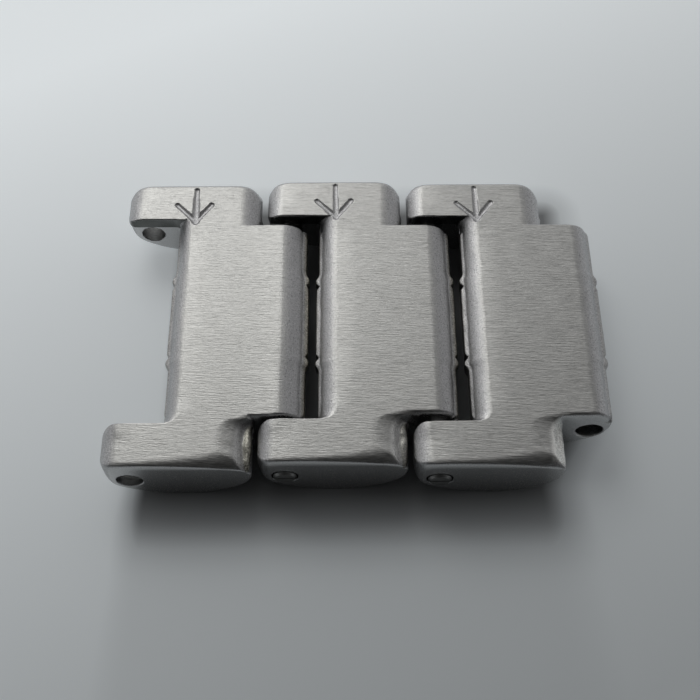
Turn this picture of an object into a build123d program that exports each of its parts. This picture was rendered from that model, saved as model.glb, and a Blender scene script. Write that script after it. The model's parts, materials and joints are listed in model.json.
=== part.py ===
"""Three joined watch bracelet links on two split pins.

The chain lies on its outer, crowned face with the wrist side up. X runs along the
bracelet, Y runs across it and Z points up, away from the crowned face. The origin is
on the axis of the empty pin hole in the first link's ears, halfway across the width.
"""
import os
from math import atan2
from math import cos
from math import hypot
from math import pi
from math import sin
from math import sqrt

from build123d import *

# The chain
link_count = 3
pin_pitch = 8.0
link_width = 18.0
side_shift = 0.19

# Plan of one link, from the axis of its own ears
ear_reach = 1.42
ear_width = 2.5
shoulder_gap = 0.22
side_play = 0.4
tongue_offset = -0.12
tongue_reach = 1.05
waist_gap = 0.65

# Corner radii in plan
ear_corner_radius = 0.9
shoulder_corner_radius = 0.9
tongue_corner_radius = 0.65
root_corner_radius = 0.3

# Heights, from the pin axes
top_height = 1.85
side_edge_height = 1.05
middle_height = 0.8
crown_depth = 1.75
end_arc_radius = 2.0

# Rolled edges round the flat wrist face
end_roll = 1.0
waist_roll = 0.85
side_roll = 0.5
roll_step_shares = [0.0, 0.25, 0.5, 0.68, 0.82, 0.93, 1.0]

# Raised middle strip of the tongue and waist, and the grooves beside it
strip_half_width = 2.85
strip_proud = 0.19
strip_step_radius = 0.12
groove_offset = 2.25
groove_width = 0.44
groove_depth = 0.16
groove_top = 1.15

# Pins and the holes they fill
ear_bore = 1.30
pin_clearance = 0.025
tongue_bore = 1.40
mouth_chamfer = 0.06
pin_proud = 0.11
pin_recess = 0.11
pin_chamfer = 0.11
pin_slit = 0.08
pin_joined_length = 2.5

# Arrow cut into the wrist face of every link
arrow_x = 2.62
arrow_tip_y = 6.10
arrow_tail_y = 8.45
arrow_barb_x = 1.05
arrow_barb_y = 1.25
arrow_stroke_width = 0.30
arrow_stroke_depth = 0.13

# Cutters run past the faces they cut by this much
overrun = 0.5

# Worked out from the sizes above
ear_gap = link_width - 2 * ear_width
tongue_width = ear_gap - 2 * side_play
pin_length = link_width + pin_proud - pin_recess
shoulder_x = pin_pitch - ear_reach - shoulder_gap
tongue_x = pin_pitch + tongue_reach
waist_x = tongue_reach + waist_gap
brick_split = (ear_gap + tongue_width) / 4
roll_depth = top_height - middle_height


def outline_corners(share, side):
    """Corners of half of the plan outline, at one level of the rolled edge.

    share is 0 at the full outline and 1 at the edge of the flat face. side is 1 for the
    half with y above zero and -1 for the other. Each corner is its x, y and radius.
    """
    end_inset = end_roll * (1 - sqrt(1 - share ** 2))
    waist_inset = waist_roll * (1 - sqrt(1 - share ** 2))
    side_share = max(0, 1 - (1 - share) * roll_depth / (top_height - side_edge_height))
    side_inset = side_roll * (1 - sqrt(1 - side_share ** 2))
    outer_y = side * (link_width / 2 - side_inset)
    ear_inner_y = side * (ear_gap / 2 + side_inset)
    tongue_y = tongue_offset + side * (tongue_width / 2 - side_inset)
    ear_x = -ear_reach + end_inset
    return [
        (waist_x + waist_inset, ear_inner_y, root_corner_radius + side_inset),
        (ear_x, ear_inner_y, ear_corner_radius - side_inset),
        (ear_x, outer_y, ear_corner_radius - side_inset),
        (shoulder_x - end_inset, outer_y, shoulder_corner_radius - side_inset),
        (shoulder_x - end_inset, tongue_y, root_corner_radius + side_inset),
        (tongue_x - end_inset, tongue_y, tongue_corner_radius - side_inset),
    ]


def plan_outline(share, level):
    """The plan outline at one level, as a sketch."""
    corners = outline_corners(share, 1) + outline_corners(share, -1)[::-1]
    with BuildSketch(Plane.XY.offset(level)) as outline:
        with BuildLine():
            FilletPolyline(
                *[(x, y) for x, y, radius in corners],
                radius=[radius for x, y, radius in corners],
                close=True,
            )
        make_face()
    return outline.sketch


def crown_radius(half_length):
    """Radius of the crown arc that touches both end arcs and the lowest level."""
    run = half_length - end_arc_radius
    drop = middle_height + crown_depth
    return (run ** 2 + drop ** 2 - end_arc_radius ** 2) / (2 * (drop - end_arc_radius))


def across(y):
    """Plane across the link at y, with its own x along X and its own y along Z."""
    return Plane(origin=(0, y, 0), x_dir=(1, 0, 0), z_dir=(0, -1, 0))


def crown_profile(start_x, end_x, y, top, inset=0.0):
    """The D-shaped side profile between two x values, drawn in by inset, as a sketch."""
    half_length = (end_x - start_x) / 2
    middle_x = (end_x + start_x) / 2
    full_crown = crown_radius(half_length)
    centre_z = full_crown - crown_depth
    run = half_length - end_arc_radius
    lean = atan2(run, centre_z - middle_height)
    crown = full_crown - inset
    end_arc = end_arc_radius - inset
    end_mid = (pi / 2 - lean) / 2
    half = half_length - inset
    mid = (run + end_arc * cos(end_mid), middle_height - end_arc * sin(end_mid))
    join = (crown * sin(lean), centre_z - crown * cos(lean))
    with BuildSketch(across(y)) as profile:
        with BuildLine():
            Line((middle_x - half, top), (middle_x - half, middle_height))
            ThreePointArc(
                (middle_x - half, middle_height),
                (middle_x - mid[0], mid[1]),
                (middle_x - join[0], join[1]),
            )
            ThreePointArc(
                (middle_x - join[0], join[1]),
                (middle_x, centre_z - crown),
                (middle_x + join[0], join[1]),
            )
            ThreePointArc(
                (middle_x + join[0], join[1]),
                (middle_x + mid[0], mid[1]),
                (middle_x + half, middle_height),
            )
            Line((middle_x + half, middle_height), (middle_x + half, top))
            Line((middle_x + half, top), (middle_x - half, top))
        make_face()
    return profile.sketch


def strip_outline(share, level):
    """The middle strip's plan outline at one level, as a sketch."""
    inset_share = 1 - sqrt(1 - share ** 2)
    start_x = waist_x - strip_proud + (waist_roll + strip_proud) * inset_share
    end_x = tongue_x + strip_proud - (end_roll + strip_proud) * inset_share
    with BuildSketch(Plane.XY.offset(level)) as outline:
        with BuildLine():
            FilletPolyline(
                (start_x, tongue_offset - strip_half_width),
                (end_x, tongue_offset - strip_half_width),
                (end_x, tongue_offset + strip_half_width),
                (start_x, tongue_offset + strip_half_width),
                radius=strip_step_radius,
                close=True,
            )
        make_face()
    return outline.sketch


def make_rolled_prism(outline):
    """A plan outline carried down past the crown, with its upper edges rolled over."""
    with BuildPart() as prism:
        levels = [
            outline(share, middle_height + roll_depth * share)
            for share in roll_step_shares
        ]
        loft(sections=levels)
        extrude(outline(0, middle_height), amount=-middle_height - crown_depth - overrun)
    return prism.part


def make_crowned_bricks():
    """The crowned rows of the front face, which the plan prisms are cut to."""
    top = top_height + overrun
    with BuildPart() as bricks:
        for side in (-1, 1):
            outer_row = crown_profile(-ear_reach, shoulder_x, side * brick_split, top)
            extrude(outer_row, amount=link_width / 2 + overrun - brick_split, dir=(0, side, 0))
        middle_row = crown_profile(waist_x, tongue_x, brick_split, top)
        extrude(middle_row, amount=2 * brick_split, dir=(0, -1, 0))
        strip_y = tongue_offset + strip_half_width
        strip = crown_profile(waist_x - strip_proud, tongue_x + strip_proud, strip_y, top)
        extrude(strip, amount=2 * strip_half_width, dir=(0, -1, 0))
    return bricks.part


def make_groove_cutter():
    """A V-shaped ring that follows the middle strip's ends and crown."""
    start_x = waist_x - strip_proud
    end_x = tongue_x + strip_proud
    with BuildPart() as cutter:
        with BuildSketch(across(groove_width / 2)):
            with Locations(((start_x + end_x) / 2, groove_top - pin_pitch)):
                Rectangle(end_x - start_x + 2 * overrun, 2 * pin_pitch)
        extrude(amount=groove_width)
        rims = [
            crown_profile(start_x, end_x, groove_width / 2, top_height),
            crown_profile(start_x, end_x, 0, top_height, inset=groove_depth),
            crown_profile(start_x, end_x, -groove_width / 2, top_height),
        ]
        loft(sections=rims, ruled=True, mode=Mode.SUBTRACT)
    return cutter.part


def make_arrow_cutter():
    """Three V-shaped strokes that point at the near side, the way the pins come out."""
    tip = (arrow_x, arrow_tip_y)
    ends = [
        (arrow_x, arrow_tail_y),
        (arrow_x - arrow_barb_x, arrow_tip_y + arrow_barb_y),
        (arrow_x + arrow_barb_x, arrow_tip_y + arrow_barb_y),
    ]
    with BuildPart() as cutter:
        for end in ends:
            run = (end[0] - tip[0], end[1] - tip[1], 0)
            side = (-run[1], run[0], 0)
            stroke = Plane(origin=(tip[0], tip[1], top_height), x_dir=side, z_dir=run)
            with BuildSketch(stroke):
                with BuildLine():
                    Polyline(
                        (-arrow_stroke_width, arrow_stroke_depth),
                        (arrow_stroke_width, arrow_stroke_depth),
                        (0, -arrow_stroke_depth),
                        close=True,
                    )
                make_face()
            extrude(amount=hypot(run[0], run[1]))
    return cutter.part


def make_hole_cutter(diameter, length):
    """A round cutter along Y with a small cone at each mouth of the hole."""
    mouth_y = length / 2 - mouth_chamfer
    with BuildPart() as cutter:
        with BuildSketch(across(0)):
            Circle(diameter / 2)
        extrude(amount=length / 2 + overrun, both=True)
        for side in (-1, 1):
            with BuildSketch(across(side * mouth_y)):
                Circle(diameter / 2)
            with BuildSketch(across(side * length / 2)):
                Circle(diameter / 2 + mouth_chamfer)
            loft()
    return cutter.part


def make_link():
    """One link: two ears, a waist, two shoulders and a tongue, in one piece."""
    with BuildPart() as link:
        add(make_rolled_prism(plan_outline))
        add(make_rolled_prism(strip_outline))
        add(make_crowned_bricks(), mode=Mode.INTERSECT)
        groove = make_groove_cutter()
        for groove_y in (tongue_offset - groove_offset, tongue_offset + groove_offset):
            add(groove.moved(Location((0, groove_y, 0))), mode=Mode.SUBTRACT)
        add(make_hole_cutter(ear_bore, link_width), mode=Mode.SUBTRACT)
        tongue_hole = make_hole_cutter(tongue_bore, tongue_width)
        add(tongue_hole.moved(Location((pin_pitch, tongue_offset, 0))), mode=Mode.SUBTRACT)
        add(make_arrow_cutter(), mode=Mode.SUBTRACT)
    return link.part


def make_pin():
    """A split pin: two half-round legs that join at the far end, with eased ends."""
    near_end = -link_width / 2 - pin_proud
    with BuildPart() as pin:
        with BuildSketch(across(near_end)):
            Circle(ear_bore / 2 - pin_clearance)
        extrude(amount=pin_length, dir=(0, 1, 0))
        chamfer(pin.edges().filter_by(GeomType.CIRCLE), length=pin_chamfer)
        with BuildSketch(across(near_end - overrun)):
            Rectangle(ear_bore, pin_slit)
        slit_length = pin_length - pin_joined_length
        extrude(amount=slit_length + overrun, dir=(0, 1, 0), mode=Mode.SUBTRACT)
    return pin.part


def write_piece(shape, name, index):
    """Place a finished piece on a pin axis, name it and write it to its own file."""
    place = (index * pin_pitch, index % 2 * side_shift, 0)
    with BuildPart() as piece:
        add(shape.moved(Location(place)))
    piece.part.label = name
    export_step(piece.part, f"parts/{name}.step")


os.makedirs("parts", exist_ok=True)
link_shape = make_link()
pin_shape = make_pin()

for index in range(link_count):
    write_piece(link_shape, f"link_{index + 1}", index)

# Each pin sits in the ears of the link on its right and turns in the tongue on its left
for index in range(1, link_count):
    write_piece(pin_shape, f"split_pin_{index}", index)
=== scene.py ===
"""Three watch bracelet links on two split pins, wrist side up, on a pale floor.

Each link is a finely meshed surface of one field: a flat brushed face with rolled edges,
crisp creases where the rolls meet the sides, D-shaped ends and a crowned outer face. The
links' lengths are in millimetres until a mesh is made, and the stage's are in metres.
"""
import json
import math

import bpy
import numpy as np
from mathutils import Matrix, Vector


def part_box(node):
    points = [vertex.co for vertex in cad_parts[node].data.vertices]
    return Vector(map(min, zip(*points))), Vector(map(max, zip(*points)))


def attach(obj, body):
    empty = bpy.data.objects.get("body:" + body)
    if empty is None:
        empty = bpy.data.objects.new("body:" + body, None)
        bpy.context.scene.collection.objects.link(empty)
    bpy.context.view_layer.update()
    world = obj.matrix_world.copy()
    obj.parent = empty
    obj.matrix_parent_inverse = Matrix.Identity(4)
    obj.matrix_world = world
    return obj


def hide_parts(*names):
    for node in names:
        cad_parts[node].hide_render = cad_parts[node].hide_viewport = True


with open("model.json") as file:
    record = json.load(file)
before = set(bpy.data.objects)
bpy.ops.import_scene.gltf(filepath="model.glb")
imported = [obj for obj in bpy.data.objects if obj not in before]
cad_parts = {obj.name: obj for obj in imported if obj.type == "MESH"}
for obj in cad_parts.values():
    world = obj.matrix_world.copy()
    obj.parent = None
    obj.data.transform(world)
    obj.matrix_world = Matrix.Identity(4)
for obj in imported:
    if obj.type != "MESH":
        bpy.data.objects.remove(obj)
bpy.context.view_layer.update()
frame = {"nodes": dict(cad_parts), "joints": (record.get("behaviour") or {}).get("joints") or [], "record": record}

MM = 0.001

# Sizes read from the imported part
link_low, link_high = (np.array(corner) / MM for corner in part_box("link_1"))
mounts = {mount["name"]: mount for mount in frame["record"]["mounts"]}
hinges = [joint for joint in frame["joints"] if joint["type"] == "hinge"]
pin_pitch = hinges[0]["pos_m"][0] / MM
half_width = link_high[1]
top_z = link_high[2]
bottom_z = link_low[2]
strip_end_x = link_high[0]
ear_bore = mounts["ear_bores"]["dims"]["r_mm"]
tongue_bore = mounts["tongue_bore"]["dims"]["r_mm"]
tongue_middle_y = mounts["tongue_bore"]["pos_m"][1] / MM
tongue_half_width = mounts["tongue_bore"]["dims"]["length_mm"] / 2

# Plan of one link, from its own ear pin. Each bar is an ear and the shoulder behind it
ear_stop_room = 0.025
ear_end_x = link_low[0] + ear_stop_room
strip_proud = 0.19
shoulder_x = 6.36
tongue_end_x = strip_end_x - strip_proud
waist_x = 1.70
ear_inner_y = 6.5
far_ear_short = 0.10

# Heights and end arcs of the D-shaped rows
widest_z = 0.8
end_arc = 2.0

# How softly the fields of a link run into each other
crease_blend = 0.05
lower_blend = 0.12
plan_blend = 0.28

# Each link's own small differences, in the order of the row. A roll is how far an edge's
# curve reaches in, and a pair of them is at the ear's end and at the shoulder. A negative
# shift brings the tongue nearer to the viewer
# Each link's near shoulder facet also has its own strength of painted highlight
link_styles = [
    {
        "seed": 3,
        "tongue_short": 0.03,
        "tongue_shift": 0.0,
        "tongue_roll": 1.50,
        "tongue_near_roll": 0.16,
        "end_burr": 1.0,
        "lip_reach": 0.24,
        "arrow_depth": 0.13,
        "arrow_widen": 0.08,
        "waist_roll": 0.87,
        "shoulder_roll": 1.20,
        "facet_slope": 0.38,
        "facet_length": 0.32,
        "facet_highlight_strength": 0.15,
        "near_roll": (0.40, 1.25),
        "near_slope": 0.95,
        "near_side_roll": (0.13, 0.03),
        "right_lift": 0.07,
        "edge_waviness": 0.05,
    },
    {
        "seed": 11,
        "tongue_short": 0.0,
        "tongue_shift": -0.28,
        "tongue_roll": 1.30,
        "tongue_near_roll": 0.16,
        "end_burr": 0.8,
        "lip_reach": 0.24,
        "arrow_depth": 0.11,
        "arrow_widen": 0.04,
        "waist_roll": 1.08,
        "shoulder_roll": 1.12,
        "facet_slope": 0.36,
        "facet_length": 0.28,
        "facet_highlight_strength": 0.35,
        "near_roll": (0.34, 1.05),
        "near_slope": 1.10,
        "near_side_roll": (0.13, 0.05),
        "right_lift": 0.0,
        "edge_waviness": 0.06,
    },
    {
        "seed": 23,
        "tongue_short": 0.0,
        "tongue_shift": -0.10,
        "tongue_roll": 1.18,
        "tongue_near_roll": 0.10,
        "end_burr": 0.15,
        "lip_reach": 0.13,
        "arrow_depth": 0.11,
        "arrow_widen": 0.04,
        "waist_roll": 1.06,
        "shoulder_roll": 0.92,
        "facet_slope": 0.26,
        "facet_length": 0.30,
        "facet_highlight_strength": 1.0,
        "near_roll": (0.34, 1.00),
        "near_slope": 1.25,
        "near_side_roll": (0.13, 0.05),
        "right_lift": 0.0,
        "edge_waviness": 0.06,
    },
]


def smooth_step(start, end, value):
    """0 before start, 1 after end and a smooth rise between them."""
    share = np.clip((value - start) / (end - start), 0, 1)
    return share * share * (3 - 2 * share)


def smooth_min(first, second, blend):
    """The lower of two fields, with their meeting filled over the blend length."""
    share = np.clip(0.5 + 0.5 * (second - first) / blend, 0, 1)
    return second + (first - second) * share - blend * share * (1 - share)


def smooth_max(first, second, blend):
    """The higher of two fields, with their meeting rounded over the blend length."""
    return -smooth_min(-first, -second, blend)


def fillet(distance, radius):
    """How far a line swings aside to meet a wall square to it, for a fillet's radius."""
    share = np.clip(1 - distance / radius, 0, 1)
    return radius * (1 - np.sqrt(1 - share**2))


def plan_box(x, y, x_range, y_range, radii):
    """Signed distance to a box in plan. Radii are near left, near right, far left, far right."""
    middle_x = (x_range[0] + x_range[1]) / 2
    middle_y = (y_range[0] + y_range[1]) / 2
    right = x > middle_x
    far = y > middle_y
    radius = np.where(
        far, np.where(right, radii[3], radii[2]), np.where(right, radii[1], radii[0])
    )
    out_x = abs(x - middle_x) - (x_range[1] - x_range[0]) / 2 + radius
    out_y = abs(y - middle_y) - (y_range[1] - y_range[0]) / 2 + radius
    inside = np.minimum(np.maximum(out_x, out_y), 0)
    return inside + np.hypot(np.maximum(out_x, 0), np.maximum(out_y, 0)) - radius


def d_profile(x, z, start_x, end_x):
    """Signed distance to a D-shaped row: upright ends, end arcs and a crown below."""
    half_length = (end_x - start_x) / 2
    run = half_length - end_arc
    drop = widest_z - bottom_z
    crown = (run**2 + drop**2 - end_arc**2) / (2 * (drop - end_arc))
    crown_z = bottom_z + crown
    from_middle = abs(x - (start_x + end_x) / 2)
    upright = from_middle - half_length
    arc = np.hypot(from_middle - run, z - widest_z) - end_arc
    bow = np.hypot(from_middle, z - crown_z) - crown
    outside_join = run * (crown_z - z) < from_middle * (crown_z - widest_z)
    return np.where(z > widest_z, upright, np.where(outside_join, arc, bow))


# Unevenness of hand finishing: how many waves are summed, and their spread of lengths
wave_count = 8
wave_spread = 0.6, 1.8
wavelengths = {"edge_waves": 2.2, "face_waves": 3.6, "bead_waves": 1.1, "lump_waves": 1.3}


class Waves:
    """A seeded sum of sine waves over the plan."""

    def __init__(self, seed, wavelength):
        random = np.random.default_rng(seed)
        angle = random.uniform(0, 2 * math.pi, wave_count)
        size = 2 * math.pi / (wavelength * random.uniform(*wave_spread, wave_count))
        self.rates = size * np.cos(angle), size * np.sin(angle)
        self.phases = random.uniform(0, 2 * math.pi, wave_count)

    def at(self, x, y):
        """The height at each point, within 1 either way and mostly under a half."""
        total = 0
        for rate_x, rate_y, phase in zip(*self.rates, self.phases):
            total = total + np.sin(rate_x * x + rate_y * y + phase)
        return total / len(self.phases)


def tongue_place(y, style):
    """The end of this link's tongue, and y as the tongue measures it."""
    return tongue_end_x - style["tongue_short"], y - style["tongue_shift"]


# The raised middle strip, the notches beside it, the nubs at its corners and the wall about
# the tongue's bore
strip_half_width = 2.85
strip_step = 0.50
nub_proud = 0.05
nub_length = 0.20
notch_y = 2.25
notch_half_width = 0.22
notch_depth = 0.16
notch_top_z = 1.35
notch_fade = 0.15
bore_wall = 0.12


def middle_length(y):
    """How much longer the middle row is at each end, by the strip and its nubs."""
    off_middle = abs(y - tongue_middle_y)
    strip = 1 - smooth_step(
        strip_half_width - strip_step / 2, strip_half_width + strip_step / 2, off_middle
    )
    nub = np.exp(-(((off_middle - strip_half_width + nub_length) / nub_length) ** 2))
    return np.minimum((strip_proud - nub_proud) * strip + nub_proud * nub, strip_proud)


def middle_row(x, y, z, tongue_x):
    """The middle row's D-profile, whose length follows the strip, nubs and notches."""
    longer = middle_length(y)
    row = d_profile(x, z, waist_x - longer, tongue_x + longer)
    row = smooth_min(row, np.hypot(x - pin_pitch, z) - tongue_bore - bore_wall, bore_wall)
    notch = np.maximum(0, 1 - abs(abs(y - tongue_middle_y) - notch_y) / notch_half_width)
    below = 1 - smooth_step(notch_top_z - notch_fade, notch_top_z, z)
    return row + notch_depth * notch * below


# The arrow in the flat face, which points at the near side
arrow_tip = 2.66, 6.16
arrow_tail = 2.62, 8.36
arrow_barbs = (1.56, 7.30), (3.52, 7.32)
stroke_half_width = 0.165
stroke_roundness = 0.5
stroke_fade = 0.25


def stroke_depth(x, y, start, end, widen):
    """How deep one rounded stroke is at a point, as a share of the arrow's depth."""
    run = np.subtract(end, start)
    share = np.clip(((x - start[0]) * run[0] + (y - start[1]) * run[1]) / (run @ run), 0, 1)
    away = np.hypot(x - start[0] - share * run[0], y - start[1] - share * run[1])
    reach = stroke_half_width + widen * (1 - share)
    inside = np.maximum(1 - (away / reach) ** 2, 0)
    rounded = inside * (1 + stroke_roundness - stroke_roundness * inside)
    return rounded * (1 - stroke_fade * share)


def arrow_depth(x, y, style):
    """Depth of the arrow below the flat face."""
    barbs = [stroke_depth(x, y, arrow_tip, barb, 0.0) for barb in arrow_barbs]
    stem = stroke_depth(x, y, arrow_tip, arrow_tail, style["arrow_widen"])
    return style["arrow_depth"] * np.maximum(stem, np.maximum(*barbs))


# Rolled edges: how far each reaches in from its wall, and how far past it the curve runs
ear_end_roll = 0.98
far_shoulder_roll = 1.22
far_side_roll = 0.50
ear_inner_roll = 0.05
tongue_far_roll = 0.16
end_overshoot = 0.10
side_overshoot = 0.04
bead_room = 0.10
waist_bead_room = 0.04
strip_on_roll = 0.45
flat_corner_share = 0.22
root_blend_share = 0.12

# Plan corner radii, left and right, of each row's near and far sides
near_bar_radii = (0.70, 0.05), (0.66, 0.05)
far_bar_radii = (0.46, 0.05), (0.70, 0.86)
tongue_radii = (0.05, 0.26), (0.05, 0.58)
waist_root_radius, shoulder_root_radius = 0.60, 0.85
shoulder_root_y = -ear_inner_y + 0.20

# The web's two halves overlap, and their open sides end inside the rows beside them
web_middle_x = 3.9
web_overlap = 0.5
web_y = 7.0
open_side = 1.0

# The near bar's edges reach their full size here, and may grow a little past it
edge_full_x = 5.0
edge_growth_limit = 1.1


def towards_shoulder(x):
    """How far along a bar a point lies, for edges that grow towards the shoulder."""
    return np.clip((x - ear_end_x) / (edge_full_x - ear_end_x), 0, edge_growth_limit) ** 3


def drawn_in(x, x_range, radii):
    """How far a side draws in near its two ends, for plan corners of the given radii."""
    left, right = radii
    return fillet(x - x_range[0], left) + fillet(x_range[1] - x, right)


def box_roll(x, y, left, right, near, far):
    """Place across a box's rolled edges: 0 where its flat face ends and 1 at the foot.

    Each side is a pair: where the flat face ends, and where the foot of its roll is.
    """
    across = np.maximum(
        (x - right[0]) / (right[1] - right[0]), (left[0] - x) / (left[0] - left[1])
    )
    along = np.maximum((y - far[0]) / (far[1] - far[0]), (near[0] - y) / (near[0] - near[1]))
    corner = np.hypot(
        np.maximum(across + flat_corner_share, 0), np.maximum(along + flat_corner_share, 0)
    )
    return corner - flat_corner_share


def near_bar_roll(x, y, ear, shoulder, style):
    """Place across the rolled edges of the near ear and shoulder."""
    bar = ear_end_x, shoulder_x
    near_y = -half_width + drawn_in(x, bar, near_bar_radii[0])
    far_y = -ear_inner_y - drawn_in(x, bar, near_bar_radii[1])
    start, end = style["near_side_roll"]
    side_roll = start + (end - start) * np.minimum(towards_shoulder(x), 1)
    near = near_y + side_roll, near_y - side_overshoot
    far = far_y - ear_inner_roll, far_y + side_overshoot
    return box_roll(x, y, ear, shoulder, near, far)


def far_bar_roll(x, y, ear, shoulder, style):
    """Place across the rolled edges of the far ear and shoulder."""
    bar = ear_end_x + far_ear_short, shoulder_x
    near_y = ear_inner_y - style["lip_reach"] + drawn_in(x, bar, far_bar_radii[0])
    far_y = half_width - drawn_in(x, bar, far_bar_radii[1])
    ear = ear[0] + far_ear_short, ear[1] + far_ear_short
    near = near_y + ear_inner_roll, near_y - side_overshoot
    far = far_y - far_side_roll, far_y + side_overshoot
    return box_roll(x, y, ear, shoulder, near, far)


def tongue_edge_roll(x, y, waist, longer, wave, style):
    """Place across the rolled edges of the tongue, with the waist at its left."""
    tongue_x, tongue_y = tongue_place(y, style)
    sides = waist_x, tongue_x
    near_y = tongue_middle_y - tongue_half_width + drawn_in(x, sides, tongue_radii[0])
    far_y = tongue_middle_y + tongue_half_width - drawn_in(x, sides, tongue_radii[1])
    end = tongue_x - style["tongue_roll"] + wave, tongue_x - bead_room + longer
    near = near_y + style["tongue_near_roll"], near_y - side_overshoot
    far = far_y - tongue_far_roll, far_y + side_overshoot
    return box_roll(x, tongue_y, waist, end, near, far)


def shoulder_start(y, style):
    """Where the near shoulder's roll starts; it swings out beside the tongue."""
    beside = shoulder_root_y - y
    return shoulder_x - style["shoulder_roll"] + fillet(beside, shoulder_root_radius)


def roll_place(x, y, style):
    """Place across the link's rolled edges in plan, 0 at the flat face and 1 at the foot."""
    longer = middle_length(tongue_place(y, style)[1]) * strip_on_roll
    wave = style["edge_waves"].at(x, y) * style["edge_waviness"]
    root = fillet(ear_inner_y - abs(y), waist_root_radius)
    waist = (
        waist_x + style["waist_roll"] - root + wave,
        waist_x + waist_bead_room - longer - root / 2,
    )
    shoulder = (
        wave + np.where(y < 0, shoulder_start(y, style), shoulder_x - far_shoulder_roll),
        shoulder_x + end_overshoot,
    )
    ear = ear_end_x + ear_end_roll + wave, ear_end_x - end_overshoot
    near_bar = near_bar_roll(x, y, ear, shoulder, style)
    far_bar = far_bar_roll(x, y, ear, shoulder, style)
    tongue = tongue_edge_roll(x, y, waist, longer, wave, style)

    web_sides = (-web_y, -web_y - open_side), (web_y, web_y + open_side)
    right_web_start = web_middle_x, web_middle_x - open_side
    left_web_end = web_middle_x + web_overlap, web_middle_x + web_overlap + open_side
    right_web = box_roll(x, y, right_web_start, shoulder, *web_sides)
    left_web = box_roll(x, y, waist, left_web_end, *web_sides)
    bars = np.minimum(np.minimum(near_bar, far_bar), right_web)
    return smooth_min(bars, np.minimum(left_web, tongue), root_blend_share)


# The flat face bows down towards its left edge, between the ears and along them
bow_reach = 1.1
bow_limit = 1.2
bow_drop = 0.035
waist_bow_y = ear_inner_y - 1.6, ear_inner_y - 0.3
ear_bow_y = ear_inner_y + 0.2, ear_inner_y + 1.2

# Its waves, and where its right end starts to rise and how long the rise is
face_waviness = 0.010
lift_start_x = 5.4
lift_length = 2.3


def top_drop(x, y, style):
    """How far the flat face lies below the highest point: hand finishing and a bowed edge."""
    by_waist = 1 - smooth_step(*waist_bow_y, abs(y))
    by_ear = smooth_step(*ear_bow_y, abs(y))
    from_waist = np.clip(1 - (x - waist_x - style["waist_roll"]) / bow_reach, 0, bow_limit)
    from_ear = np.clip(1 - (x - ear_end_x - ear_end_roll) / bow_reach, 0, bow_limit)
    bowed = (by_waist * from_waist**2 + by_ear * from_ear**2) * bow_drop
    lifted = 1 - np.clip((x - lift_start_x) / lift_length, 0, 1) ** 2
    return bowed + style["right_lift"] * lifted + face_waviness * (1 + style["face_waves"].at(x, y))


def near_drop(x, y, style):
    """How far the near side rolls down, over a width that grows towards the shoulder."""
    start, end = style["near_roll"]
    width = start + towards_shoulder(x) * (end - start)
    share = np.clip(1 - (y + half_width) / width, 0, 1)
    return style["near_slope"] * width / 3 * share**3


# The near shoulder's facet: its steep end, and how it runs into what is beside it
facet_end_slope = 1.05
facet_turn_blend = 0.08
facet_root_blend = 0.45
facet_blend_near, facet_blend_far = 0.05, 0.25
facet_blend_y = -8.6, -7.8


def shoulder_facet(x, y, z, top, style):
    """The flat facet at the near end of the shoulder, kept off the tongue."""
    start_x = shoulder_start(y, style)
    slope = style["facet_slope"]
    plane = (z - top + (x - start_x) * slope) / math.hypot(1, slope)
    turn_x = start_x + style["facet_length"]
    turn_z = top - style["facet_length"] * slope
    steep = (z - turn_z + (x - turn_x) * facet_end_slope) / math.hypot(1, facet_end_slope)
    facet = smooth_max(plane, steep, facet_turn_blend)
    return smooth_min(facet, shoulder_root_y - y, facet_root_blend)


# Rough beads left along the rows' upper edges: radius, height and place of each
end_bead, waist_bead, shoulder_bead = 0.20, 0.20, 0.24
bead_z, shoulder_bead_z = 0.98, 1.10
waist_bead_out = 0.08
shoulder_bead_y = -7.65
shoulder_bead_half = 1.35
shoulder_bead_sunk = 0.02
bead_side_room = 0.45
bead_taper = 0.35
bead_blend = 0.16

# Waves along the beads, and the shoulder bead's lumps, which are closer together along y
bead_wave = 0.06
lump_wave = 0.04
lump_rate_y = 2


def edge_beads(x, y, z, style):
    """The rough beads along the tongue's end, the waist and the near shoulder."""
    wave = style["bead_waves"].at(x, y) * bead_wave
    tongue_x, tongue_y = tongue_place(y, style)
    longer = middle_length(tongue_y)
    across_z = z - bead_z - wave
    end = np.hypot(x - tongue_x - longer + end_bead + wave, across_z) - end_bead
    waist = np.hypot(x - waist_x + longer - waist_bead + waist_bead_out, across_z) - waist_bead
    in_tongue = abs(tongue_y - tongue_middle_y) - tongue_half_width + bead_side_room
    from_middle = (y - shoulder_bead_y) / shoulder_bead_half
    lens = np.sqrt(np.maximum(1 - from_middle**2, 0))
    lumps = style["lump_waves"].at(x, y * lump_rate_y) * lump_wave * lens
    across_z = z - shoulder_bead_z - wave
    shoulder = np.hypot(x - shoulder_x + shoulder_bead + wave, across_z) - shoulder_bead * lens
    rows = np.maximum(np.minimum(end, waist), in_tongue * bead_taper)
    return np.minimum(rows, shoulder - lumps + shoulder_bead_sunk)


# The rolls end at a ledge over their feet, and both lie lower along the far side
roll_scale = 0.5
ledge_height = 0.20
side_roll_drop = 0.3
side_drop_y = half_width - 1.0, half_width - 0.1


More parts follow.
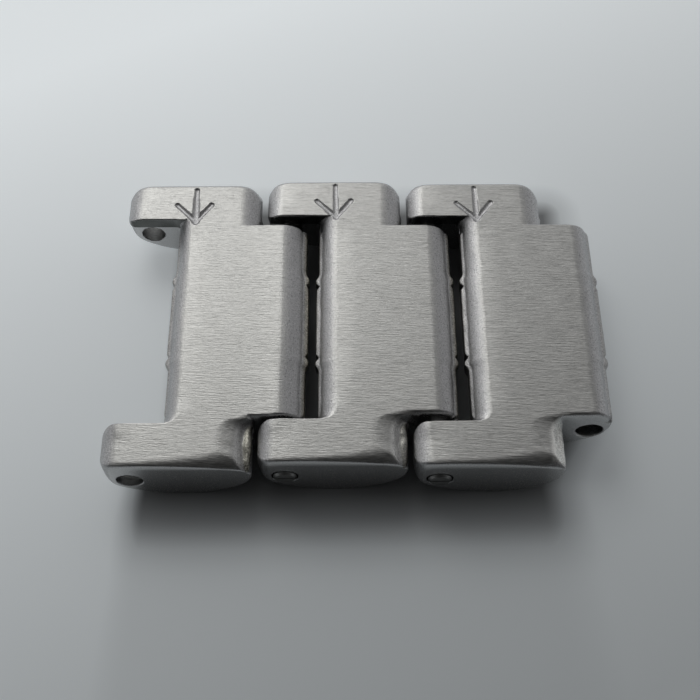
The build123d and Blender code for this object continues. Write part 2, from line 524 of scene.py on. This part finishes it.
def upper_field(x, y, z, style):
    """Below zero under the flat face, its rolls, arrow and facet, and in the beads."""
    foot_z = widest_z - side_roll_drop * smooth_step(*side_drop_y, y)
    top = top_z - top_drop(x, y, style)
    place = roll_place(x, y, style)
    rise = (z - foot_z) / (top - near_drop(x, y, style) - foot_z)
    rolled = (np.hypot(np.maximum(place, 0), np.maximum(rise, 0)) - 1) * roll_scale
    rolled = np.minimum(rolled, z - foot_z - ledge_height)
    upper = np.maximum(rolled, z - top + arrow_depth(x, y, style))
    by_bar = smooth_step(*facet_blend_y, y)
    blend = facet_blend_near + (facet_blend_far - facet_blend_near) * by_bar
    upper = smooth_max(upper, shoulder_facet(x, y, z, top, style), blend)
    return smooth_min(upper, edge_beads(x, y, z, style), bead_blend)


# Plan corner radii of the walls: near left, near right, far left, far right
near_wall_radii = 0.75, 0.12, 0.7, 0.1
far_wall_radii = 0.5, 0.1, 0.75, 0.9
tongue_wall_radii = 0.1, 0.36, 0.1, 0.65

# The web between the bars reaches a little into them
web_into_bar = 0.05

# The far ear's inner face has a lip along its top
lip_low_z, lip_high_z = 0.90, 1.02


def bars_field(x, y, z, style):
    """Below zero inside the walls of the near and far bars."""
    lip = style["lip_reach"] * smooth_step(lip_low_z, lip_high_z, z) * (y > 0)
    inner_wall = ear_inner_y - lip - abs(y)
    outer_row = d_profile(x, z, ear_end_x + far_ear_short * (y > 0), shoulder_x)
    bars = smooth_max(outer_row, np.maximum(abs(y) - half_width, inner_wall), lower_blend)
    near_x, far_x = (ear_end_x, shoulder_x), (ear_end_x + far_ear_short, shoulder_x)
    near_plan = plan_box(x, y, near_x, (-half_width, -ear_inner_y), near_wall_radii)
    far_plan = plan_box(x, y, far_x, (ear_inner_y - lip, half_width), far_wall_radii)
    return smooth_max(bars, np.minimum(near_plan, far_plan), crease_blend)


def past_tongue_side(y, style):
    """How far a point is past the tongue's near or far side."""
    return abs(tongue_place(y, style)[1] - tongue_middle_y) - tongue_half_width


def middle_field(x, y, z, style):
    """Below zero inside the walls of the web and the tongue."""
    tongue_x, tongue_y = tongue_place(y, style)
    tongue_plan = plan_box(
        x,
        tongue_y,
        (waist_x - strip_proud, tongue_x + strip_proud),
        (tongue_middle_y - tongue_half_width, tongue_middle_y + tongue_half_width),
        tongue_wall_radii,
    )
    tongue = np.maximum(past_tongue_side(y, style), tongue_plan)
    web = np.maximum(abs(y) - ear_inner_y - web_into_bar, x - shoulder_x)
    row = middle_row(x, tongue_y, z, tongue_x)
    return smooth_max(row, np.minimum(web, tongue), lower_blend)


# The pin's bores: their widened mouths, and how far the ear bores run into the tongue's gap
bore_edge_blend = 0.03
bore_overrun = 0.2
bore_mouth = 0.04
bore_mouth_y = half_width - 0.40, half_width - 0.32
tongue_bore_mouth = 0.08


def bore_field(x, y, z, style):
    """Below zero inside the ears' bores and the tongue's bore."""
    mouth = bore_mouth * smooth_step(*bore_mouth_y, abs(y))
    ears = np.maximum(np.hypot(x, z) - ear_bore - mouth, ear_inner_y - bore_overrun - abs(y))
    rim = np.maximum(0, past_tongue_side(y, style) + tongue_bore_mouth)
    tongue = np.maximum(np.hypot(x - pin_pitch, z) - tongue_bore - rim, abs(y) - ear_inner_y)
    return np.minimum(ears, tongue)


def link_field(x, y, z, style):
    """Below zero inside the link and above zero outside it."""
    body = smooth_min(bars_field(x, y, z, style), middle_field(x, y, z, style), plan_blend)
    link = smooth_max(upper_field(x, y, z, style), body, crease_blend)
    return smooth_max(link, -bore_field(x, y, z, style), bore_edge_blend)


# Grid along x, y and z: its ends, fine and coarse spacing, and plain ranges for the coarse
grid_margin = 0.1
grid_growth = 0.4
grid_x = ear_end_x, strip_end_x, 0.075, 0.12, [(4.0, 5.2)]
grid_y = -half_width, half_width, 0.075, 0.25, [(-5.2, -3.4), (-1.7, 1.5), (3.0, 5.0)]
grid_z = bottom_z, top_z, 0.07, 0.09, [(-0.6, 0.6)]


def grid_lines(low, high, fine, coarse, plain_ranges):
    """Grid lines from end to end, wider apart inside the plain ranges."""
    lines = [low - grid_margin]
    while lines[-1] < high + grid_margin:
        here = lines[-1]
        step = fine
        for start, end in plain_ranges:
            if start < here < end:
                step = min(coarse, fine + grid_growth * min(here - start, end - here))
        lines.append(here + step)
    return np.array(lines)


# A cell's corners, and the pairs of corners that its edges join
cell_corners = [(i & 1, i >> 1 & 1, i >> 2 & 1) for i in range(8)]
cell_edges = [(a, b) for a in range(8) for b in range(a + 1, 8) if bin(a ^ b).count("1") == 1]

# Meshing: steps of the slope, and moves of each point towards the surface, within its cell
slope_step = 0.004
surface_moves = 4
cell_slack = 0.1
least_slope_squared = 1e-4
least_normal = 1e-9


def slope_of(field, points):
    """The field's slope at each point, from its change over a short step each way."""
    slopes = []
    for step in slope_step * np.eye(3):
        change = field(*(points + step).T) - field(*(points - step).T)
        slopes.append(change / (2 * slope_step))
    return np.stack(slopes, 1)


def crossing_points(value, cells, places):
    """The mean of the places where the surface crosses each cell's edges."""
    at = np.array([value[tuple((cells + corner).T)] for corner in cell_corners])
    total = np.zeros((len(cells), 3))
    found = np.zeros(len(cells))
    for a, b in cell_edges:
        crossing = (at[a] < 0) != (at[b] < 0)
        share = at[a][crossing] / (at[a][crossing] - at[b][crossing])
        start, end = places[a][crossing], places[b][crossing]
        total[crossing] += start + share[:, None] * (end - start)
        found[crossing] += 1
    return total / found[:, None]


def moved_to_surface(field, points, low, high):
    """The points moved down the field's slope to the surface, near or in their cells."""
    slack = (high - low) * cell_slack
    for _ in range(surface_moves):
        slope = slope_of(field, points)
        size = np.maximum((slope**2).sum(1), least_slope_squared)
        moved = points - (field(*points.T) / size)[:, None] * slope
        points = np.clip(moved, low - slack, high + slack)
    return points


def faces_across(axis, inside, index):
    """A face for each grid edge along one axis that the surface cuts, through four cells."""
    u, v = (axis + 1) % 3, (axis + 2) % 3
    first, second = [slice(None)] * 3, [slice(None)] * 3
    first[axis], second[axis] = slice(0, -1), slice(1, None)
    before, after = inside[tuple(first)], inside[tuple(second)]
    cut = np.argwhere(before != after)
    keep = (cut[:, u] > 0) & (cut[:, v] > 0)
    keep &= (cut[:, u] < inside.shape[u] - 1) & (cut[:, v] < inside.shape[v] - 1)
    cut = cut[keep]
    around = []
    for down_u, down_v in ((1, 1), (0, 1), (0, 0), (1, 0)):
        cell = cut.copy()
        cell[:, u] -= down_u
        cell[:, v] -= down_v
        around.append(index[tuple(cell.T)])
    quads = np.stack(around, 1)
    flip = ~before[tuple(cut.T)]
    quads[flip] = quads[flip][:, ::-1]
    return quads


def mesh_field(field, lines):
    """Points, unit normals and four-sided faces of a field's zero surface."""
    xs, ys, zs = lines
    value = field(xs[:, None, None], ys[None, :, None], zs[None, None, :]).astype(np.float32)
    inside = value < 0
    counts = sum(
        inside[a : len(xs) - 1 + a, b : len(ys) - 1 + b, c : len(zs) - 1 + c].astype(np.int8)
        for a, b, c in cell_corners
    )
    cells = np.argwhere((counts > 0) & (counts < len(cell_corners)))
    index = np.full(counts.shape, -1, np.int64)
    index[tuple(cells.T)] = np.arange(len(cells))
    places = [
        np.stack([axis[cells[:, i] + corner[i]] for i, axis in enumerate(lines)], 1)
        for corner in cell_corners
    ]
    points = crossing_points(value, cells, places)
    points = moved_to_surface(field, points, places[0], places[-1])
    normals = slope_of(field, points)
    normals /= np.maximum(np.linalg.norm(normals, axis=1), least_normal)[:, None]
    faces = [faces_across(axis, inside, index) for axis in range(3)]
    return points, normals, np.concatenate(faces)


def add_object(name, data):
    """An object that holds the data, put into the scene."""
    made = bpy.data.objects.new(name, data)
    bpy.context.scene.collection.objects.link(made)
    return made


def add_mesh(name, points, normals, faces, place, masks):
    """A mesh object made from millimetre points, with its own normals and masks."""
    mesh = bpy.data.meshes.new(name)
    mesh.vertices.add(len(points))
    mesh.vertices.foreach_set("co", (points * MM).astype(np.float32).ravel())
    mesh.loops.add(faces.size)
    mesh.loops.foreach_set("vertex_index", faces.astype(np.int32).ravel())
    mesh.polygons.add(len(faces))
    mesh.polygons.foreach_set("loop_start", np.arange(0, faces.size, 4, dtype=np.int32))
    mesh.update(calc_edges=True)
    mesh.validate()
    mesh.shade_smooth()
    mesh.normals_split_custom_set_from_vertices(normals.tolist())
    for mask, values in masks.items():
        layer = mesh.attributes.new(mask, "FLOAT", "POINT")
        layer.data.foreach_set("value", values.astype(np.float32))
    piece = add_object(name, mesh)
    piece.location = Vector(place) * MM
    return piece


class Nodes:
    """Short calls that add nodes to one material or world."""

    def __init__(self, owner):
        owner.use_nodes = True
        self.tree = owner.node_tree

    def fill(self, node, inputs):
        """Link or set a node's inputs."""
        for key, value in inputs.items():
            if isinstance(value, bpy.types.NodeSocket):
                self.tree.links.new(value, node.inputs[key])
            else:
                node.inputs[key].default_value = value
        return node

    def add(self, kind, inputs=(), **settings):
        """A new node with these settings and inputs."""
        node = self.tree.nodes.new(kind)
        for name, value in settings.items():
            setattr(node, name, value)
        return self.fill(node, dict(inputs))

    def math(self, operation, first, second=0.0, third=0.0, clamp=False):
        """The result of one sum or comparison."""
        inputs = {0: first, 1: second, 2: third}
        node = self.add("ShaderNodeMath", inputs, operation=operation, use_clamp=clamp)
        return node.outputs[0]

    def mix(self, factor, first, second):
        """A value between two values."""
        inputs = {"Factor": factor, "A": first, "B": second}
        return self.add("ShaderNodeMix", inputs, data_type="FLOAT").outputs[0]

    def tint(self, factor, first, second):
        """A colour between two colours."""
        inputs = {0: factor, 6: first, 7: second}
        return self.add("ShaderNodeMix", inputs, data_type="RGBA").outputs[2]

    def ramp(self, value, low, high, to_low, to_high, kind="SMOOTHSTEP"):
        """The value brought from the range low to high into another range."""
        inputs = {
            "Value": value,
            "From Min": low,
            "From Max": high,
            "To Min": to_low,
            "To Max": to_high,
        }
        return self.add("ShaderNodeMapRange", inputs, interpolation_type=kind).outputs["Result"]

    def noise(self, place, pattern):
        """Noise in a pattern of rates per millimetre, detail and roughness."""
        rates, detail, roughness = pattern
        scale = [rate / MM for rate in rates]
        stretched = self.add("ShaderNodeMapping", {"Vector": place, "Scale": scale})
        inputs = {
            "Vector": stretched.outputs["Vector"],
            "Scale": 1.0,
            "Detail": detail,
            "Roughness": roughness,
        }
        return self.add("ShaderNodeTexNoise", inputs).outputs["Fac"]

    def bump(self, height, strength, depth):
        """A normal for a surface with this height, over a depth in millimetres."""
        inputs = {"Strength": strength, "Distance": depth * MM, "Height": height}
        return self.add("ShaderNodeBump", inputs).outputs["Normal"]

    def attribute(self, name):
        """A mesh's own mask."""
        return self.add("ShaderNodeAttribute", attribute_name=name).outputs["Fac"]


# Noise patterns: rates per millimetre along x, y and z, then detail and roughness
streaks = (0.9, 13.0, 13.0), 4.0, 0.65
fine_streaks = (4.0, 26.0, 26.0), 3.0, 0.6
metal_grain = (15.0, 11.0, 15.0), 3.0, 0.7
wide_patches = (0.35, 0.6, 0.35), 2.0, 0.5
drawn_lines = (14.0, 1.5, 14.0), 3.0, 0.6

# How noise becomes height, roughness and light: a factor and an offset each
streaks_share = 0.6
brush_height = 3.2, -1.1
grain_height = 3.0, -1.0
side_height = 0.25, 0.37
height_to_rough = 0.14, -0.07
height_to_light = 0.60, 0.70
patch_to_light = 0.10, 0.95
# how the patches vary the painted shade
patch_to_shade = -0.8, 1.2

# Finish of the links, on the flat face, its rolls and the sides. A bump is a strength and a
# depth in millimetres
brush_turn = 0.05
seed_shift_x, seed_shift_y = 0.031, 0.017
scratch_bump = 1.0, 0.008
flat_rough, roll_rough, side_rough = 0.36, 0.34, 0.26
flat_breakup, grain_middle = 3.2, 0.5
# Strength of the painted shade in the creases about the rough beads
crease_shade_strength = 1.6
flat_colour = 0.50, 0.50, 0.485, 1
roll_colour = 0.46, 0.46, 0.465, 1
side_colour = 0.56, 0.56, 0.56, 1
# The rough beads' colours, dark and pale; the pale warm one is partly rough metal and partly a painted glint
rough_dark, rough_pale_glint = (0.26, 0.245, 0.20, 1), (0.80, 0.77, 0.66, 1)
# Painted shade in the creases about the rough beads
crease_shade_colour = 0.12, 0.12, 0.12, 1
# Painted highlight on the near shoulder's facet
facet_highlight_colour = 0.80, 0.80, 0.77, 1
# Painted shade under the far ear's lip and along the near shoulder's bead
painted_shade_colour = 0.07, 0.075, 0.07, 1


def finish_steel(nodes, colour, rough, bump):
    """Give the tree's shader its colour, roughness and normal, as metal."""
    shader = nodes.tree.nodes["Principled BSDF"]
    inputs = {"Base Color": colour, "Roughness": rough, "Normal": bump, "Metallic": 1.0}
    nodes.fill(shader, inputs)


def edge_of(nodes, mask, strength):
    """Highest half way up a mask's edge and zero where the mask is none or full."""
    rest = nodes.math("SUBTRACT", 1.0, mask)
    return nodes.math("MULTIPLY", rest, nodes.math("MULTIPLY", mask, strength))


def link_colour(nodes, flat, grain, patches):
    """Steel colours of the face, rolls and sides, with rough beads whose pale tone is partly a painted glint, a
    painted highlight on the near shoulder's facet, and painted shade about the beads, under the far ear's lip and
    along the shoulder's bead.
    """
    colour = nodes.tint(flat, roll_colour, flat_colour)
    colour = nodes.tint(nodes.attribute("side"), colour, side_colour)
    burr = nodes.attribute("burr")
    # Rough beads, whose pale warm grain is partly a painted glint
    colour = nodes.tint(burr, colour, nodes.tint(grain, rough_dark, rough_pale_glint))
    # Painted shade in the creases about the rough beads
    colour = nodes.tint(edge_of(nodes, burr, crease_shade_strength), colour, crease_shade_colour)
    # Painted highlight on the near shoulder's facet
    colour = nodes.tint(nodes.attribute("facet_highlight"), colour, facet_highlight_colour)
    # Painted shade, varied by patches, under the far ear's lip and along the near shoulder's bead
    shade_share = nodes.math("MULTIPLY_ADD", patches, *patch_to_shade)
    shade_share = nodes.math("MULTIPLY", nodes.attribute("painted_shade"), shade_share)
    return nodes.tint(shade_share, colour, painted_shade_colour)


def make_link_steel(name, seed):
    """Brushed steel on the flat face, grained rolls and smoother, paler sides."""
    material = bpy.data.materials.new(name)
    nodes = Nodes(material)
    place = nodes.add("ShaderNodeTexCoord").outputs["Object"]
    shift = seed * seed_shift_x, seed * seed_shift_y, 0
    turned = nodes.add(
        "ShaderNodeMapping", {"Vector": place, "Location": shift, "Rotation": (0, 0, brush_turn)}
    ).outputs["Vector"]
    brush = nodes.math(
        "ADD",
        nodes.math("MULTIPLY", nodes.noise(turned, streaks), streaks_share),
        nodes.math("MULTIPLY", nodes.noise(turned, fine_streaks), 1 - streaks_share),
    )
    brush = nodes.math("MULTIPLY_ADD", brush, *brush_height)
    grain = nodes.math("MULTIPLY_ADD", nodes.noise(turned, metal_grain), *grain_height)
    patches = nodes.noise(turned, wide_patches)

    flat = nodes.attribute("flat")
    off_middle = nodes.math("SUBTRACT", grain, grain_middle)
    broken = edge_of(nodes, flat, flat_breakup)
    flat = nodes.math("MULTIPLY_ADD", broken, off_middle, flat, clamp=True)
    side = nodes.attribute("side")
    side_grain = nodes.math("MULTIPLY_ADD", grain, *side_height)
    height = nodes.mix(flat, nodes.mix(side, grain, side_grain), brush)
    rough = nodes.mix(flat, nodes.mix(side, roll_rough, side_rough), flat_rough)
    rough = nodes.math("ADD", rough, nodes.math("MULTIPLY_ADD", height, *height_to_rough))
    light = nodes.math(
        "MULTIPLY",
        nodes.math("MULTIPLY_ADD", height, *height_to_light),
        nodes.math("MULTIPLY_ADD", patches, *patch_to_light),
    )
    colour = nodes.add(
        "ShaderNodeHueSaturation",
        {"Color": link_colour(nodes, flat, grain, patches), "Value": light},
    ).outputs["Color"]
    finish_steel(nodes, colour, rough, nodes.bump(height, *scratch_bump))
    return material


# Finish of the pins
wire_bump = 0.8, 0.006
wire_rough = 0.2, 0.25
wire_dark, wire_light = (0.22, 0.22, 0.215, 1), (0.36, 0.36, 0.35, 1)


def make_pin_steel():
    """Plain drawn wire, a little darker than the links, with fine lines along it."""
    material = bpy.data.materials.new("pin_steel")
    nodes = Nodes(material)
    lines = nodes.noise(nodes.add("ShaderNodeTexCoord").outputs["Object"], drawn_lines)
    colour = nodes.tint(lines, wire_dark, wire_light)
    rough = nodes.math("MULTIPLY_ADD", lines, *wire_rough)
    finish_steel(nodes, colour, rough, nodes.bump(lines, *wire_bump))
    return material


# Masks: where each starts and is full, by place, by distance or by the way a point faces,
# and the strength of some
flat_fade, flat_facing = (0.05, 0.45), (0.5, 0.9)
arrow_fade = 0.3, 0.8
side_facing = 0.85, 0.97
burr_fade = 0.01, 0.10
waist_burr = 0.2
# Painted highlight on the near shoulder's facet, where it faces up
facet_highlight_fade, facet_highlight_facing = (0.05, 0.25), (0.35, 0.6)
facet_highlight_side_room = 0.1
shoulder_y = tongue_half_width, tongue_half_width + 0.3
# Painted shade: its strength along the near shoulder's bead, and how it fades by facing, height and place under
# the far ear's lip
shoulder_painted_shade = 0.55
shade_facing = 0.6, 0.8
shade_top_z = top_z - 0.15, top_z
shade_end_x = waist_x + 0.4


def lip_painted_shade(x, y, z, normal_y):
    """The painted shade in a band under the far ear's inner edge, as a share."""
    faces_viewer = smooth_step(*shade_facing, -normal_y)
    band = smooth_step(lip_low_z, lip_high_z, z) * (1 - smooth_step(*shade_top_z, z))
    return faces_viewer * band * (y > 0) * (x < shade_end_x)


def link_masks(points, normals, style):
    """How much of each finish there is at each point, as shares."""
    x, y, z = points.T
    normal_y, normal_z = normals[:, 1], normals[:, 2]
    place = roll_place(x, y, style)
    flat = (1 - smooth_step(*flat_fade, place)) * smooth_step(*flat_facing, normal_z)
    flat *= 1 - smooth_step(*arrow_fade, arrow_depth(x, y, style) / style["arrow_depth"])
    burr = 1 - smooth_step(*burr_fade, edge_beads(x, y, z, style))
    burr *= np.where(x < web_middle_x, waist_burr, style["end_burr"])
    in_shoulder = smooth_step(*shoulder_y, -y)
    past_facet = x - shoulder_start(y, style)
    # Painted highlight on the near shoulder's facet, where it faces up
    facet_highlight = smooth_step(*facet_highlight_fade, past_facet) * smooth_step(*facet_highlight_facing, normal_z) * in_shoulder
    facet_highlight *= smooth_step(*facet_highlight_fade, y + half_width - facet_highlight_side_room) * style["facet_highlight_strength"]
    return {
        "flat": flat,
        "side": smooth_step(*side_facing, abs(normal_y)),
        "burr": burr,
        # painted shade under the far ear's lip and along the near shoulder's bead
        "painted_shade": np.maximum(lip_painted_shade(x, y, z, normal_y), burr * in_shoulder * shoulder_painted_shade),
        "facet_highlight": facet_highlight,
    }


def body_holding(node):
    """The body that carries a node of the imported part."""
    bodies = frame["record"]["behaviour"]["bodies"]
    return next(name for name, held in bodies.items() if node in held)


def make_link(node, style, lines):
    """One link, meshed as if it were the first and placed where its node is."""
    style = dict(style)
    for later, (waves, wavelength) in enumerate(wavelengths.items()):
        style[waves] = Waves(style["seed"] + later, wavelength)

    def field(x, y, z):
        return link_field(x, y, z, style)

    points, normals, faces = mesh_field(field, lines)
    shift = np.array(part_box(node)[1]) / MM - link_high
    place = shift[0], shift[1], 0
    masks = link_masks(points, normals, style)
    piece = add_mesh(f"dressed_{node}", points, normals, faces, place, masks)
    piece.data.materials.append(make_link_steel(node.replace("link", "link_steel"), style["seed"]))
    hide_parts(node)
    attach(piece, body_holding(node))


link_lines = [grid_lines(*axis) for axis in (grid_x, grid_y, grid_z)]
for number, link_style in enumerate(link_styles, 1):
    make_link(f"link_{number}", link_style, link_lines)

pin_material = make_pin_steel()
for node, packed in frame["nodes"].items():
    if node.startswith("split_pin"):
        packed.data.materials.clear()
        packed.data.materials.append(pin_material)


# The floor, in metres, centred under the row
row_middle = 0.012, 0.0, 0.0
floor_size = 0.6
floor_z = bottom_z * MM
floor_rough = 0.7
# The floor's colours at the shaded and lit ends of its painted shade
floor_shaded, floor_lit = (0.56, 0.595, 0.61, 1), (0.88, 0.925, 0.945, 1)
# Colour of the painted shadow beneath the row
floor_painted_shadow = 0.27, 0.28, 0.285, 1

# Painted shade on the floor, darker to the right and near the viewer: how much paler it gets per metre to the
# right and away, from a middle share
paler_right, paler_away, middle_share = -8.0, 18.0, 0.46

# The floor's painted shadow about the row: where the row ends, and how far the shadow reaches
row_left, row_right = 0.0098, 0.0112
row_half_width = 0.0090
side_reach = 0.0024
side_reach_growth = 0.25
left_sharpness = 1.8
near_reach = 0.0045
near_share, slow_share = 0.6, 0.4
slow_rise = 33.0
shadow_sharpness = 2.2

# Between these two y the row's ends come to lie further left, beside the near ears
beside_ear_range = -0.0050, -0.0090, 0.0, 0.0017

# The floor's painted glow, seen only by the camera and in reflections and fading to none beneath the row, from its
# dark end to its pale end
glow_range, glow_least = 0.32, 0.10


def out_of_shade(nodes, x, y):
    """How far out of the row's painted shadow the floor is, 0 beneath the row and 1 at the shadow's end."""
    beside_ear = nodes.ramp(y, *beside_ear_range)
    past_right = nodes.math("ADD", nodes.math("SUBTRACT", x, row_right), beside_ear)
    past_left = nodes.math("MULTIPLY_ADD", x, -1.0, -row_left)
    past_left = nodes.math("SUBTRACT", past_left, beside_ear)
    past_left = nodes.math("MULTIPLY", past_left, left_sharpness)
    past_x = nodes.math("MAXIMUM", past_left, past_right)
    past_far = nodes.math("SUBTRACT", y, row_half_width)
    past_near = nodes.math("MULTIPLY_ADD", y, -1.0, -row_half_width)
    past_near = nodes.math("MAXIMUM", past_near, 0.0)
    reach = nodes.math("MULTIPLY_ADD", past_near, side_reach_growth, side_reach)
    out_x = nodes.math("DIVIDE", nodes.math("MAXIMUM", past_x, 0.0), reach)
    out_far = nodes.math("DIVIDE", nodes.math("MAXIMUM", past_far, 0.0), side_reach)
    fast = nodes.math("DIVIDE", past_near, near_reach, clamp=True)
    slow = nodes.math("MULTIPLY", past_near, slow_rise, clamp=True)
    slow = nodes.math("MULTIPLY", slow, slow_share)
    out_near = nodes.math("MULTIPLY_ADD", fast, near_share, slow)
    out_y = nodes.math("ADD", out_far, out_near)
    out = nodes.add("ShaderNodeCombineXYZ", {"X": out_x, "Y": out_y}).outputs[0]
    return nodes.add("ShaderNodeVectorMath", {0: out}, operation="LENGTH").outputs["Value"]


def make_floor_paper():
    """Pale paper with painted shade towards the near right, a painted shadow beneath the row and a painted glow.
    """
    material = bpy.data.materials.new("floor_paper")
    nodes = Nodes(material)
    place = nodes.add("ShaderNodeTexCoord").outputs["Object"]
    apart = nodes.add("ShaderNodeSeparateXYZ", {"Vector": place})
    x, y = apart.outputs["X"], apart.outputs["Y"]
    # Painted shade: the floor darkens towards the near right
    lean = nodes.math(
        "ADD", nodes.math("MULTIPLY", x, paler_right), nodes.math("MULTIPLY", y, paler_away)
    )
    share = nodes.math("ADD", lean, middle_share, clamp=True)
    out = out_of_shade(nodes, x, y)
    # Painted shadow beneath the row
    beside = nodes.math("MULTIPLY", out, shadow_sharpness, clamp=True)
    colour = nodes.tint(beside, floor_painted_shadow, nodes.tint(share, floor_shaded, floor_lit))
    # Painted glow: the floor glows for the camera and in reflections, less beneath the row
    path = nodes.add("ShaderNodeLightPath").outputs
    seen = nodes.math("MAXIMUM", path["Is Camera Ray"], path["Is Glossy Ray"])
    painted_glow = nodes.math("MULTIPLY_ADD", share, glow_range, glow_least)
    painted_glow = nodes.math("MULTIPLY", painted_glow, nodes.math("MINIMUM", out, 1.0))
    painted_glow = nodes.math("MULTIPLY", seen, painted_glow)
    inputs = {
        "Base Color": colour,
        "Roughness": floor_rough,
        "Emission Color": colour,
        "Emission Strength": painted_glow,
    }
    nodes.fill(nodes.tree.nodes["Principled BSDF"], inputs)
    return material


def make_floor():
    """The sheet of paper that the row lies on."""
    half = floor_size / 2
    mesh = bpy.data.meshes.new("floor")
    corners = [(-half, -half, 0), (half, -half, 0), (half, half, 0), (-half, half, 0)]
    mesh.from_pydata(corners, [], [(0, 1, 2, 3)])
    mesh.materials.append(make_floor_paper())
    floor = add_object("floor", mesh)
    floor.location = (row_middle[0], row_middle[1], floor_z)


make_floor()


# Ways to look from the links, and how the dome's light changes towards each: the way's
# cosine where a change starts and ends, and the light there
viewer_way = 0.0, -0.8, 0.6
viewer_shade = -0.22, 0.52, 1.0, 0.05
viewer_glow = 0.22, 1.0, 0.39, 0.013
left_way = -0.95, 0.3, 0.0
left_light = -0.5, 0.7, 0.42, 0.60
behind_way = -0.1, 0.93, 0.36
behind_light = 0.75, 0.97, 0.0, 0.12
low_right_way = 0.95, 0.30, 0.05
low_right_light = 0.91, 0.99, 0.0, 0.32
dome_colour = 0.99, 0.99, 1.0, 1
no_light = 0.0, 0.0, 0.0, 1


def make_world():
    """A pale dome, lighter at left, behind and low at right, and dark on the viewer's side."""
    world = bpy.data.worlds.new("studio")
    bpy.context.scene.world = world
    nodes = Nodes(world)
    way = nodes.add("ShaderNodeTexCoord").outputs["Generated"]

    def along(direction):
        inputs = {0: way, 1: direction}
        return nodes.add("ShaderNodeVectorMath", inputs, operation="DOT_PRODUCT").outputs["Value"]

    away_from_viewer = nodes.math(
        "MAXIMUM",
        nodes.ramp(along(viewer_way), *viewer_shade),
        nodes.ramp(along(viewer_way), *viewer_glow, "LINEAR"),
    )
    sideways = nodes.ramp(along(left_way), *left_light)
    behind = nodes.ramp(along(behind_way), *behind_light)
    low_right = nodes.ramp(along(low_right_way), *low_right_light)
    around = nodes.math("ADD", nodes.math("ADD", sideways, behind), low_right)
    light = nodes.math("MULTIPLY", away_from_viewer, around)
    colour = nodes.tint(light, no_light, dome_colour)
    nodes.fill(nodes.tree.nodes["Background"], {"Color": colour})


make_world()


# The window, whose azimuth is measured from straight behind, to the right
window_azimuth, window_elevation = math.radians(-24), math.radians(46)
window_distance = 0.30
window_side = 0.16
window_radiance = 1.88
window_colour = 1.0, 0.995, 0.975


def make_window():
    """A square area lamp that faces the row and looks as bright as asked."""
    lamp = bpy.data.lights.new("window", "AREA")
    lamp.shape = "RECTANGLE"
    lamp.size = lamp.size_y = window_side
    lamp.energy = window_radiance * math.pi * window_side * window_side
    lamp.color = window_colour
    turn = Matrix.Rotation(-window_azimuth, 4, "Z")
    turn = turn @ Matrix.Rotation(window_elevation - math.pi / 2, 4, "X")
    away = turn @ Vector((0, 0, window_distance))
    holder = add_object("window", lamp)
    holder.matrix_world = Matrix.Translation(Vector(row_middle) + away) @ turn


make_window()


# The camera, as fitted to the pin holes, arrows and edges in the photograph
sensor_width = 36
focal_length = 56.64
clip_start = 0.001
camera_place = 0.011289, -0.031045, 0.052759
pitch, roll, yaw = math.radians(60.60), math.radians(-0.12), math.radians(-0.22)


def make_camera():
    """The photograph's viewpoint: from the near side, looking down at the wrist faces."""
    data = bpy.data.cameras.new("camera")
    data.sensor_width = sensor_width
    data.lens = focal_length
    data.clip_start = clip_start
    camera = add_object("camera", data)
    turn = Matrix.Rotation(yaw, 4, "Z") @ Matrix.Rotation(math.pi / 2 - pitch, 4, "X")
    place = Matrix.Translation(camera_place)
    camera.matrix_world = place @ turn @ Matrix.Rotation(roll, 4, "Z")
    bpy.context.scene.camera = camera


make_camera()

bpy.context.scene.view_settings.view_transform = "Standard"
